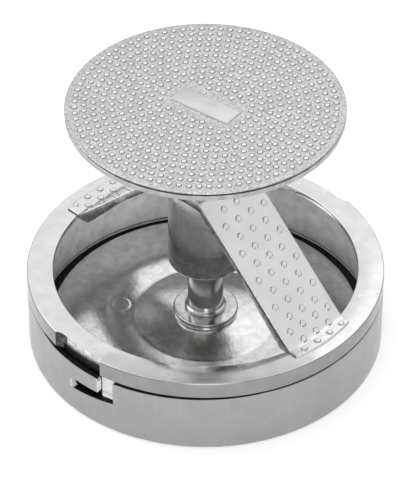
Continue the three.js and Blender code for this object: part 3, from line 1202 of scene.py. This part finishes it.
@dataclass
class Bridge:
    """The strap over the mould, with its raised bumps, and the boss and bushes that it holds."""

    half_width: float = 12.5
    hub_top: float = 66.7
    hub_half: float = 9.5
    right_bend: float = 50.9
    left_bend: float = 48.8
    foot_top: float = 29.1
    foot_bottom: float = 27.4
    foot_end: float = 55.6
    thickness: float = 3.2
    drops: tuple[Flat, ...] = (
        (0.0, 3.2), (9.5, 3.2), (12.0, 3.5), (28.0, 2.8), (38.0, 4.6), (46.0, 5.6),
    )
    edge_round: float = 0.35
    edge_steps: int = 4
    hub_round: float = 2.2
    foot_round: float = 1.3
    bore: float = 8.1
    bore_cut: Flat = (20.0, 80.0)
    boss_radius: float = 12.5
    boss_bottom: float = 31.5
    band_top: float = 41.5
    bush_inner: float = 6.15
    bush_outer: float = 8.0
    bush_flange: float = 9.2
    lower_bush: tuple[float, float] = (32.6, 44.6)
    upper_bush: tuple[float, float] = (52.7, 66.7)
    flange_top: float = 67.9
    bump_radius: float = 1.25
    bump_height: float = 0.36
    bump_pitch: float = 5.9
    bump_shift: float = 0.7
    station_step: float = 2.0
    bump_rows: tuple[float, ...] = (1.78, 5.3, 9.7, 14.0, 19.0)
    bump_row_step: float = 5.13
    bump_clear: float = 2.5
    bump_shares: tuple[Flat, ...] = ((1.0, 0.0), (0.93, 0.35), (0.84, 0.8), (0.74, 0.96), (0.5, 1.0))
    flank_range: Flat = (0.3, 0.96)
    loose_rows: tuple[float, ...] = (-10.5, -5.0, 0.0, 5.0, 10.5)
    foot_bend: float = 0.9
    end_rows: int = 16
    probe: float = 0.3
    seat_gap: float = 0.02
    sides: int = 144

    def top_line(self, bend: float) -> list[Flat]:
        """Return the top of one half as reach from the axis and height, with soft bends."""
        corners = [
            (0.0, self.hub_top, 0.0),
            (self.hub_half, self.hub_top, self.hub_round),
            (bend, self.foot_top, self.foot_round),
            (self.foot_end, self.foot_top, 0.0),
        ]
        line = softened(corners, closed=False, steps=6)
        result: list[Flat] = []
        for (x0, z0), (x1, z1) in zip(line, line[1:]):
            parts = max(1, round((x1 - x0) / self.station_step))
            shares = [part / parts for part in range(parts)]
            result.extend((x0 + (x1 - x0) * s, z0 + (z1 - z0) * s) for s in shares)
        return result + [line[-1]]

    def underside(self, reach: float, top: float) -> float:
        """Return the height of the strap's underside below a point of its top."""
        reaches, drops = zip(*self.drops)
        return max(self.foot_bottom, top - float(np.interp(reach, reaches, drops)))

    def build_strap(self) -> bpy.types.Object:
        """Build the strap from its top and bottom lines, with bumps on the top."""
        right, left = self.top_line(self.right_bend), self.top_line(self.left_bend)
        top = [(-x, z) for x, z in reversed(left[1:])] + right
        steps = [0.0]
        for (x0, z0), (x1, z1) in zip(top, top[1:]):
            steps.append(steps[-1] + math.hypot(x1 - x0, z1 - z0))
        along = np.array(steps) - steps[len(left) - 1]
        top_x, top_z = np.array(top).T
        foot_long = self.foot_end - self.right_bend - self.foot_bend

        def stretch(x: float, length: float, y: float) -> float:
            """Return X with the foot's end bent to its round outline."""
            end = abs(along[-1] if length > 0 else along[0])
            share = 1 - (end - abs(length)) / foot_long
            if share <= 0:
                return x
            short = self.foot_end - math.sqrt(self.foot_end**2 - y * y)
            return math.copysign(abs(x) - short * share, x)

        def on_top(length: float, y: float, rise: float) -> Point:
            """Return the place of a point on the top, lifted along the normal."""
            x, z = (float(np.interp(length, along, line)) for line in (top_x, top_z))
            before, after = length - self.probe, length + self.probe
            dx, dz = (np.interp(after, along, t) - np.interp(before, along, t) for t in (top_x, top_z))
            norm = math.hypot(dx, dz)
            return (stretch(x, length, y) - dz / norm * rise, y, z + dx / norm * rise)

        def through(length: float, y: float, share: float) -> Point:
            """Return the place of a point at a share of the way from top to bottom."""
            x, high = (float(np.interp(length, along, line)) for line in (top_x, top_z))
            low = self.underside(abs(x), high)
            return (stretch(x, length, y), y, high + (low - high) * share)

        def outline(inset: float) -> list[Flat]:
            """Return the strap's flat outline, counterclockwise, drawn in by an inset."""
            half = self.half_width - inset
            first, last = float(along[0]) + inset, float(along[-1]) - inset
            inner = [float(a) for a in along[1:-1]]
            rows = [-half + 2 * half * i / self.end_rows for i in range(self.end_rows + 1)]
            line = [(a, -half) for a in inner]
            line += [(last, y) for y in rows]
            line += [(a, half) for a in reversed(inner)]
            line += [(first, y) for y in reversed(rows)]
            return line

        draft = Draft()
        edge, thick = self.edge_round, self.thickness
        stages = [(edge, 0.0)]
        for step in range(1, self.edge_steps + 1):
            angle = math.pi / 2 * step / self.edge_steps
            stages.append((edge * (1 - math.sin(angle)), edge * (1 - math.cos(angle)) / thick))
        stages += [(0.0, 1 - edge / thick), (edge * 0.3, 1 - edge * 0.3 / thick), (edge, 1.0)]
        draft.skin([draft.ring([through(a, y, share) for a, y in outline(inset)]) for inset, share in stages])
        self.close_under(draft, outline(edge), lambda a, y: through(a, y, 1.0), along)
        spots = self.bump_places(float(along[-1]), float(along[0]))
        clear = self.bump_radius + 0.05
        grid = [(float(a), y) for a in along[2:-2] for y in self.loose_rows]
        loose = [p for p in grid if all(math.dist(p, s) > clear for s in spots)]
        knobs = Knobs(spots, self.bump_radius, self.bump_height, self.bump_shares, sides=20, skirt_share=1.06)
        knobbed_face(draft, outline(edge), knobs, on_top, loose)
        piece = linked("strap", draft.mesh("strap"))
        low, high = self.bore_cut
        bore = [(0.0, low, 0.0), (self.bore, low, 0.0), (self.bore, high, 0.0), (0.0, high, 0.0)]
        cut(piece, [lathed("bore_tool", bore, 96, closed=False)])

        def on_bump(centre: Vector, normal: Vector) -> bool:
            """Tell whether a face is on the flank of a bump."""
            length = float(np.interp(centre.x, top_x, along))
            if min(math.dist((length, centre.y), spot) for spot in spots) > self.bump_radius:
                return False
            shifts = (-self.probe, self.probe)
            before, after = (float(np.interp(centre.x + d, top_x, top_z)) for d in shifts)
            square = Vector((before - after, 0.0, 2 * self.probe)).normalized()
            least, most = self.flank_range
            return least < normal.dot(square) < most

        paints = [
            Paint(CAST_STRAP),
            # Painted shade on the bumps' flanks.
            Paint(BUMP_FLANK_PAINTED_SHADE, on_bump),
            Paint(STRAP_SIDE, lambda c, n: abs(n.y) > SQUARE),
            # Painted light on the feet's end faces.
            Paint(CUT_PAINTED_LIGHT, lambda c, n: c.xy.length > self.foot_end - 0.5 and abs(n.z) < LEANING),
        ]
        return dress(piece, Body.MOULD, "bridge_strap", paints)

    def close_under(
        self, draft: Draft, outline: Sequence[Flat], place: Callable[[float, float], Point], along: np.ndarray
    ) -> None:
        """Close the underside with strips across, one for each stretch of its line.

        Args:
            draft: The strap's draft.
            outline: The flat outline of the underside.
            place: Place in space of a flat point on the underside.
            along: Lengths of the stations along the strap.
        """
        count = len(along) - 2
        rows = len(outline) - 2 * count
        half_rows = rows // 2
        ring = draft.ring([place(a, y) for a, y in outline])
        right = ring[:count]
        left = ring[count + half_rows : 2 * count + half_rows][::-1]
        for i in range(count - 1):
            draft.faces.append((right[i], left[i], left[i + 1], right[i + 1]))
        right_end = ring[count : count + half_rows]
        left_end = ring[2 * count + half_rows :]
        draft.faces.append((right[-1], left[-1], *reversed(right_end)))
        draft.faces.append((left[0], right[0], *reversed(left_end)))

    def bump_places(self, right_end: float, left_end: float) -> list[Flat]:
        """Return where the bumps sit: rows of four and three in turn, from both feet to the hub.

        Args:
            right_end: Length from the axis to the right foot's end.
            left_end: Length to the left foot's end, which is negative.

        Returns:
            The flat places.
        """
        spots = []
        for end in (right_end, left_end):
            side = math.copysign(1, end)
            reaches = list(self.bump_rows)
            while abs(end) - reaches[-1] - self.bump_row_step > self.hub_half + self.bump_clear:
                reaches.append(reaches[-1] + self.bump_row_step)
            for row, reach in enumerate(reaches):
                count = 3 if row % 2 else 4
                start = self.bump_shift - (count - 1) / 2 * self.bump_pitch
                for i in range(count):
                    spots.append((end - side * reach, side * (start + i * self.bump_pitch)))
        return spots

    def build_boss(self) -> bpy.types.Object:
        """Turn the boss and shape its top to the underside of the strap."""
        right, left = self.top_line(self.right_bend), self.top_line(self.left_bend)

        def roof(x: float) -> float:
            """Return the height of the strap's underside."""
            reaches, heights = zip(*(right if x > 0 else left))
            return self.underside(abs(x), float(np.interp(abs(x), reaches, heights))) - self.seat_gap

        draft = Draft()
        bottom = self.boss_bottom
        corners = [
            (self.bore, self.hub_top, 0.0),
            (self.bore, bottom, 0.3),
            (self.boss_radius, bottom, 0.7),
            (self.boss_radius, self.band_top, 0.0),
        ]
        profile = softened(corners, closed=False)[1:]
        rings = [draft.ring(circle(r, z, self.sides)) for r, z in profile]
        for radius in (self.boss_radius, self.bore):
            flat = circle(radius, 0.0, self.sides)
            rings.append(draft.ring([(x, y, roof(x)) for x, y, _ in flat]))
        draft.skin([*rings, rings[0]])
        piece = linked("boss", draft.mesh("boss"))
        paints = [Paint(POLISHED_BOSS), Paint(BOSS_BAND, lambda c, n: c.z < self.band_top)]
        return dress(piece, Body.MOULD, "guide_boss", paints)

    def build_bushes(self) -> None:
        """Turn the two nylon bushes, of which the upper one has a flange."""
        low, high = self.lower_bush
        lower = [
            (self.bush_inner, low, 0.2),
            (self.bush_outer, low, 0.3),
            (self.bush_outer, high, 0.3),
            (self.bush_inner, high, 0.2),
        ]
        low, high = self.upper_bush
        upper = [
            (self.bush_inner, low, 0.2),
            (self.bush_outer, low, 0.3),
            (self.bush_outer, high, 0.0),
            (self.bush_flange, high, 0.2),
            (self.bush_flange, self.flange_top, 0.4),
            (self.bush_inner, self.flange_top, 0.3),
        ]
        for name, node, profile in (("bush_low", "lower_bush", lower), ("bush_top", "upper_bush", upper)):
            piece = lathed(name, profile, self.sides, closed=True)
            dress(piece, Body.MOULD, node, [Paint(WHITE_NYLON)])

    def build(self) -> None:
        """Build the strap, the boss and the bushes."""
        self.build_strap()
        self.build_boss()
        self.build_bushes()


@dataclass
class Plunger:
    """The rod with its press plate, stop washer and palm disc."""

    rod_radius: float = 6.0
    spigot: float = 4.0
    spigot_bottom: float = 6.5
    tap_radius: float = 2.6
    tap_top: float = 15.9
    collar_radius: float = 7.0
    collar_bottom: float = 10.7
    collar_top: float = 11.7
    fillet_top: float = 12.3
    hub_bottom: float = 84.2
    stem_radius: float = 4.4
    stem_top: float = 91.0
    washer_inner: float = 4.15
    washer_outer: float = 11.0
    washer_bottom: float = 8.4
    washer_top: float = 10.6
    plate_radius: float = 52.5
    plate_bottom: float = 2.8
    plate_edge_top: float = 5.55
    plate_top: float = 8.3
    pad_radius: float = 10.6
    plate_line: tuple[Flat, ...] = ((10.6, 8.3), (17.0, 7.4), (24.2, 6.2), (33.0, 6.9), (52.5, 5.5))
    plate_rings: tuple[float, ...] = (
        11.4, 12.2, 13.5, 16.0, 18.0, 20.0, 21.5, 23.0, 24.1, 24.3, 25.4, 27.0,
        29.5, 32.0, 34.5, 37.0, 39.5, 42.0, 44.5, 47.0, 49.5,
    )
    plate_ring_sides: int = 96
    plate_sides: int = 192
    plate_edge_inset: float = 0.35
    sharp_inside: float = 28.0
    blur_reach: float = 2.5
    blur_step: float = 0.5
    sink_depth: float = 2.2
    sink_radius: float = 4.8
    screw_hole: float = 2.7
    mark_radius: float = 3.75
    mark_reach: float = 29.5
    mark_turn: float = 215.0
    mark_depth: float = 0.06
    mark_rings: tuple[Flat, ...] = ((-0.9, 0.0), (-0.45, 0.0), (-0.15, -1.0), (0.15, -1.0), (0.45, 0.0))
    mark_clear: float = 0.8
    mark_sides: int = 40
    palm_radius: float = 45.6
    palm_top: float = 95.1
    palm_under: float = 92.2
    palm_hub: float = 11.0
    palm_bore: float = 4.6
    palm_bore_top: float = 91.4
    palm_edge: float = 0.3
    groove_depth: float = 0.3
    groove_levels: tuple[float, float, float, float] = (0.35, 0.5, 0.95, 1.1)
    dot_pitch: float = 3.02
    dot_rings: int = 14
    dot_radius: float = 1.05
    dot_height: float = 0.5
    dot_shares: tuple[Flat, ...] = (
        (1.0, 0.0), (0.95, 0.06), (0.85, 0.35), (0.72, 0.7), (0.6, 0.88), (0.4, 0.97), (0.2, 1.0),
    )
    dot_clearing: Flat = (13.2, 6.6)
    plaque_half: Flat = (11.5, 4.0)
    plaque_round: float = 0.9
    plaque_layers: tuple[Flat, ...] = ((0.0, 0.0), (0.0, 0.5), (0.12, 0.9), (0.3, 1.0))
    plaque_rise: float = 0.38
    plaque_turn: float = 8.0
    grub_radius: float = 2.3
    grub_height: float = 88.2
    rod_sides: int = 144
    sides: int = 240

    def build_rod(self) -> bpy.types.Object:
        """Turn the rod with its spigot, collar and stem."""
        profile = [
            (0.0, self.tap_top, 0.0),
            (self.tap_radius, self.tap_top, 0.0),
            (self.tap_radius, self.spigot_bottom, 0.2),
            (self.spigot, self.spigot_bottom, 0.2),
            (self.spigot, self.collar_bottom, 0.0),
            (self.collar_radius, self.collar_bottom, 0.15),
            (self.collar_radius, self.collar_top, 0.3),
            (self.rod_radius, self.fillet_top, 0.5),
            (self.rod_radius, self.hub_bottom, 0.3),
            (self.stem_radius, self.hub_bottom, 0.0),
            (self.stem_radius, self.stem_top, 0.3),
            (0.0, self.stem_top, 0.0),
        ]
        piece = lathed("rod", profile, self.rod_sides, closed=False)
        return dress(piece, Body.PLUNGER, "plunger_rod", [Paint(GROUND_STEEL)])

    def build_washer(self) -> bpy.types.Object:
        """Turn the bright washer on the plate."""
        profile = [
            (self.washer_inner, self.washer_bottom, 0.1),
            (self.washer_outer, self.washer_bottom, 0.3),
            (self.washer_outer, self.washer_top, 0.55),
            (self.washer_inner, self.washer_top, 0.1),
        ]
        piece = lathed("washer", profile, self.rod_sides, closed=True)
        return dress(piece, Body.STOP, "stop_washer", [Paint(BRIGHT_WASHER)])

    def plate_height(self, radius: float) -> float:
        """Return the height of the plate's top.

        A cone goes down from the pad to a crease, and outside it the plate rises a little and falls
        off to its edge. The crease is sharp and the rise is blurred.

        Args:
            radius: How far out, in millimetres.

        Returns:
            The height in millimetres.
        """
        reaches, heights = np.array(self.plate_line).T
        near = [radius]
        if radius > self.sharp_inside:
            steps = round(2 * self.blur_reach / self.blur_step)
            near = [radius - self.blur_reach + self.blur_step * i for i in range(steps + 1)]
        return float(np.mean(np.interp(near, reaches, heights)))

    def build_plate(self) -> bpy.types.Object:
        """Build the press plate, with a faint ejector mark on its top."""
        sides = self.plate_sides
        draft = Draft()
        outer = self.plate_radius - self.plate_edge_inset
        mark = around(self.mark_reach, self.mark_turn)

        def lift(x: float, y: float, rise: float) -> Point:
            """Return the place of a point on the plate's top."""
            return (x, y, self.plate_height(math.hypot(x, y)) + rise)

        inner_ring = [(x, y) for x, y, _ in circle(self.pad_radius, 0, sides)]
        outline = [(x, y) for x, y, _ in circle(outer, 0, sides)]
        points = outline + inner_ring
        loops = [list(range(sides)), list(range(sides, 2 * sides))]
        for radius in self.plate_rings:
            for x, y, _ in circle(radius, 0, self.plate_ring_sides):
                if math.dist((x, y), mark) > self.mark_radius + self.mark_clear:
                    points.append((x, y))
        rises = {}
        for reach, rise in self.mark_rings:
            start = len(points)
            points.extend(loop_around(mark, self.mark_radius + reach, self.mark_sides))
            loops.append(list(range(start, len(points))))
            for x, y in points[start:]:
                rises[(round(x, 4), round(y, 4))] = rise * self.mark_depth
        flat, triangles = triangles_inside(points, loops)
        middles = [np.mean([flat[i] for i in t], axis=0) for t in triangles]
        pad = self.pad_radius * 0.999
        kept = [t for t, middle in zip(triangles, middles) if math.hypot(*middle) > pad]
        draft.cap([lift(x, y, rises.get((round(x, 4), round(y, 4)), 0.0)) for x, y in flat], kept)
        below = self.plate_bottom
        corners = [
            (outer, self.plate_height(outer), 0.0),
            (self.plate_radius, self.plate_edge_top - 0.15, 0.25),
            (self.plate_radius, below, 0.3),
            (self.sink_radius, below, 0.0),
            (self.screw_hole, below + self.sink_depth, 0.0),
            (self.screw_hole, self.spigot_bottom, 0.0),
            (self.washer_inner, self.spigot_bottom, 0.0),
            (self.washer_inner, self.plate_top, 0.0),
            (self.pad_radius - 0.1, self.plate_top, 0.15),
            (self.pad_radius, self.plate_height(self.pad_radius), 0.0),
        ]
        draft.skin([draft.ring(circle(r, z, sides)) for r, z in softened(corners, closed=False)])
        piece = linked("plate", draft.mesh("plate"))
        return dress(piece, Body.PLUNGER, "press_plate", [Paint(CAST_PLATE)])

    def dot_places(self) -> list[Flat]:
        """Return the middles of the palm disc's dots, clear of the plaque."""
        places = []
        long, wide = self.dot_clearing
        for ring in range(1, self.dot_rings + 1):
            reach = self.dot_pitch * ring
            for i in range(6 * ring):
                angle = FULL_TURN * i / (6 * ring)
                if abs(reach * math.cos(angle)) > long or abs(reach * math.sin(angle)) > wide:
                    spun = angle + math.radians(self.plaque_turn)
                    places.append((reach * math.cos(spun), reach * math.sin(spun)))
        return places

    def build_palm(self) -> bpy.types.Object:
        """Build the palm disc with its dots, its rounded edge and the hub below."""
        sides = self.sides
        draft = Draft()
        inset = self.palm_radius - self.palm_edge
        outline = [(x, y) for x, y, _ in circle(inset, 0, sides)]

        def lift(x: float, y: float, rise: float) -> Point:
            """Return the place of a point on the disc's top."""
            return (x, y, self.palm_top + rise)

        knobs = Knobs(self.dot_places(), self.dot_radius, self.dot_height, self.dot_shares)
        knobbed_face(draft, outline, knobs, lift)
        top, groove = self.palm_top, self.palm_radius - self.groove_depth
        over, high, low, under = (top - depth for depth in self.groove_levels)
        corners = [
            (inset, top, 0.0),
            (self.palm_radius, top, self.palm_edge),
            (self.palm_radius, over, 0.02),
            (groove, high, 0.05),
            (groove, low, 0.05),
            (self.palm_radius, under, 0.05),
            (self.palm_radius, self.palm_under, 0.35),
            (self.palm_hub, self.palm_under, 2.0),
            (self.palm_hub, self.hub_bottom, 0.5),
            (self.palm_bore, self.hub_bottom, 0.3),
            (self.palm_bore, self.palm_bore_top, 0.0),
            (0.0, self.palm_bore_top, 0.0),
        ]
        profile = softened(corners, closed=False)
        rings = [draft.ring(circle(r, z, sides)) for r, z in profile if r > 0]
        draft.skin(rings)
        draft.fan(rings[-1], (0.0, 0.0, self.palm_bore_top))
        piece = linked("palm", draft.mesh("palm"))
        inner, outer = self.palm_bore - 0.5, self.palm_hub + 1
        drill = [(0, inner), (self.grub_radius, inner), (self.grub_radius, outer), (0, outer)]
        tool = turned(drill, 48, closed=False)
        tool.points = [(x, z, y + self.grub_height) for x, y, z in tool.points]
        cut(piece, [linked("grub_tool", tool.mesh("grub_tool"))])
        paints = [
            Paint(GRAINED_PALM),
            # Painted shade on the dots' flanks.
            Paint(DOT_FLANKS_PAINTED_SHADE, lambda c, n: c.z > self.palm_top + 0.01),
            # Painted highlight on the dots' tops.
            Paint(DOT_CAPS_PAINTED_HIGHLIGHT, lambda c, n: c.z > self.palm_top + 0.8 * self.dot_height),
            Paint(PALM_EDGE, lambda c, n: c.z < self.palm_top - 0.1),
            # Painted shade in the groove round the disc's edge.
            Paint(PAINTED_SHADE_RECESS, lambda c, n: -1.0 < c.z - self.palm_top < -0.4),
            Paint(PALM_UNDERSIDE, lambda c, n: c.z < self.palm_under + 0.3),
        ]
        return dress(piece, Body.PLUNGER, "palm_disc", paints)

    def build_plaque(self) -> bpy.types.Object:
        """Build the bare plaque in the middle of the palm disc."""
        half_x, half_y = self.plaque_half
        signs = ((1, -1), (1, 1), (-1, 1), (-1, -1))
        corners = [(x * half_x, y * half_y, self.plaque_round) for x, y in signs]
        outline = softened(corners, closed=True, steps=6)
        draft = Draft()
        turn = math.radians(self.plaque_turn)
        cosine, sine = math.cos(turn), math.sin(turn)
        rings = []
        for inset, rise in self.plaque_layers:
            level = self.palm_top + rise * self.plaque_rise
            flat = grown(outline, -inset)
            rings.append(draft.ring([(x * cosine - y * sine, x * sine + y * cosine, level) for x, y in flat]))
        draft.skin(rings)
        draft.faces.append(tuple(rings[-1]))
        draft.faces.append(tuple(reversed(rings[0])))
        piece = linked("plaque", draft.mesh("plaque"))
        return dress(piece, Body.PLUNGER, "palm_plaque", [Paint(BRIGHT_PLAQUE)])

    def build(self) -> None:
        """Build every piece of the plunger."""
        self.build_rod()
        self.build_washer()
        self.build_plate()
        self.build_palm()
        self.build_plaque()


@dataclass
class Screws:
    """The two screws, which keep their frame shapes."""

    nodes: tuple[str, str] = ("plate_screw", "palm_grub_screw")

    def dress(self, frame_nodes: dict[str, bpy.types.Object]) -> None:
        """Give the screws their steel.

        Args:
            frame_nodes: The frame's objects by name.
        """
        for name in self.nodes:
            screw = frame_nodes[name]
            screw.data.materials.clear()
            screw.data.materials.append(BOOK.material(SCREW_STEEL))
            LOG.info("%s: dressed", name)


@dataclass
class Studio:
    """Camera, floor, world and lamps."""

    eye: Point = (0.5725, -0.5725, 0.7045)
    gaze: Point = (-0.5458, 0.5458, -0.6357)
    lens: float = 232.6
    sensor: float = 36.0
    floor_half: float = 2.5
    floor_tone: float = 0.88
    sky_levels: tuple[Flat, ...] = (
        (0.0, 0.15), (0.50, 0.12), (0.58, 0.18), (0.70, 0.80), (0.78, 0.98), (1.0, 0.98),
    )
    dim_side: Point = (0.9, -0.42, 0.0)
    dim_range: Flat = (-0.2, 0.9)
    dim_share: float = 0.76
    floor_glow: float = 0.36
    lamps: tuple[tuple[str, Point, float, float], ...] = (
        ("lamp_left", (-1.0, -0.3, 1.2), 1.0, 2.8),
        ("lamp_back", (-0.4, 1.0, 1.3), 0.9, 0.6),
        ("lamp_front", (1.1, -1.0, 0.42), 0.9, 8.5),
    )
    lamps_aim: Point = (0.0, 0.0, 0.05)

    def build_camera(self) -> None:
        """Place the camera at the photograph's viewpoint."""
        data = bpy.data.cameras.new("camera")
        data.sensor_width = self.sensor
        data.lens = self.lens
        data.clip_start = 0.01
        data.clip_end = 20
        camera = bpy.data.objects.new("camera", data)
        camera.location = self.eye
        camera.rotation_mode = "QUATERNION"
        camera.rotation_quaternion = Vector(self.gaze).to_track_quat("-Z", "Y")
        bpy.context.scene.collection.objects.link(camera)
        bpy.context.scene.camera = camera

    def build_floor(self) -> None:
        """Lay the pale floor, which the camera and the metal see as white outside the shadow."""
        half = self.floor_half
        mesh = bpy.data.meshes.new("floor")
        corners = [(-half, -half, 0), (half, -half, 0), (half, half, 0), (-half, half, 0)]
        mesh.from_pydata(corners, [], [(0, 1, 2, 3)])
        floor = linked("floor", mesh)
        material = bpy.data.materials.new("floor")
        material.use_nodes = True
        tree = material.node_tree
        shader = tree.nodes["Principled BSDF"]
        shader.inputs["Base Color"].default_value = (*grey(self.floor_tone, 0.0), 1)
        shader.inputs["Roughness"].default_value = 0.9
        shader.inputs["Specular IOR Level"].default_value = 0.1
        rays = tree.nodes.new("ShaderNodeLightPath").outputs
        mirrored = greater(tree, rays["Is Glossy Ray"], rays["Is Transmission Ray"])
        seen = greater(tree, rays["Is Camera Ray"], mirrored)
        glow = mapped(tree, seen, (0.0, 1.0), (0.0, self.floor_glow))
        shader.inputs["Emission Color"].default_value = (1, 1, 1, 1)
        tree.links.new(glow, shader.inputs["Emission Strength"])
        mesh.materials.append(material)

    def build_world(self) -> None:
        """Make a soft sky that is dark below, bright above and dimmer on one side."""
        world = bpy.data.worlds.new("studio")
        bpy.context.scene.world = world
        world.use_nodes = True
        tree = world.node_tree
        background = tree.nodes["Background"]
        place = tree.nodes.new("ShaderNodeTexCoord").outputs["Generated"]
        height = mapped(tree, split_up(tree, place)["Z"], (-1.0, 1.0), (0.0, 1.0))
        sky = ramped(tree, height, [(position, (level,) * 3) for position, level in self.sky_levels])
        tree.links.new(sky, background.inputs["Color"])
        toward = tree.nodes.new("ShaderNodeVectorMath")
        toward.operation = "DOT_PRODUCT"
        toward.inputs[1].default_value = Vector(self.dim_side).normalized()
        tree.links.new(place, toward.inputs[0])
        strength = mapped(tree, toward.outputs["Value"], self.dim_range, (1.0, self.dim_share), soft=True)
        tree.links.new(strength, background.inputs["Strength"])

    def build_lamps(self) -> None:
        """Hang the soft lamps, turned to the press."""
        for name, place, size, power in self.lamps:
            data = bpy.data.lights.new(name, "AREA")
            data.shape = "DISK"
            data.size = size
            data.energy = power
            lamp = bpy.data.objects.new(name, data)
            lamp.location = place
            aim = Vector(self.lamps_aim) - Vector(place)
            lamp.rotation_mode = "QUATERNION"
            lamp.rotation_quaternion = aim.to_track_quat("-Z", "Y")
            bpy.context.scene.collection.objects.link(lamp)

    def build(self) -> None:
        """Build the whole studio."""
        bpy.context.scene.view_settings.view_transform = "Standard"
        self.build_camera()
        self.build_floor()
        self.build_world()
        self.build_lamps()


def main() -> None:
    """Build the studio and dress the frame."""
    logging.basicConfig(level=logging.INFO, format="%(name)s %(message)s")
    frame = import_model()
    Studio().build()
    BaseTray().build()
    Mould().build()
    Bridge().build()
    Plunger().build()
    Screws().dress(frame["nodes"])


if __name__ == "__main__":
    main()
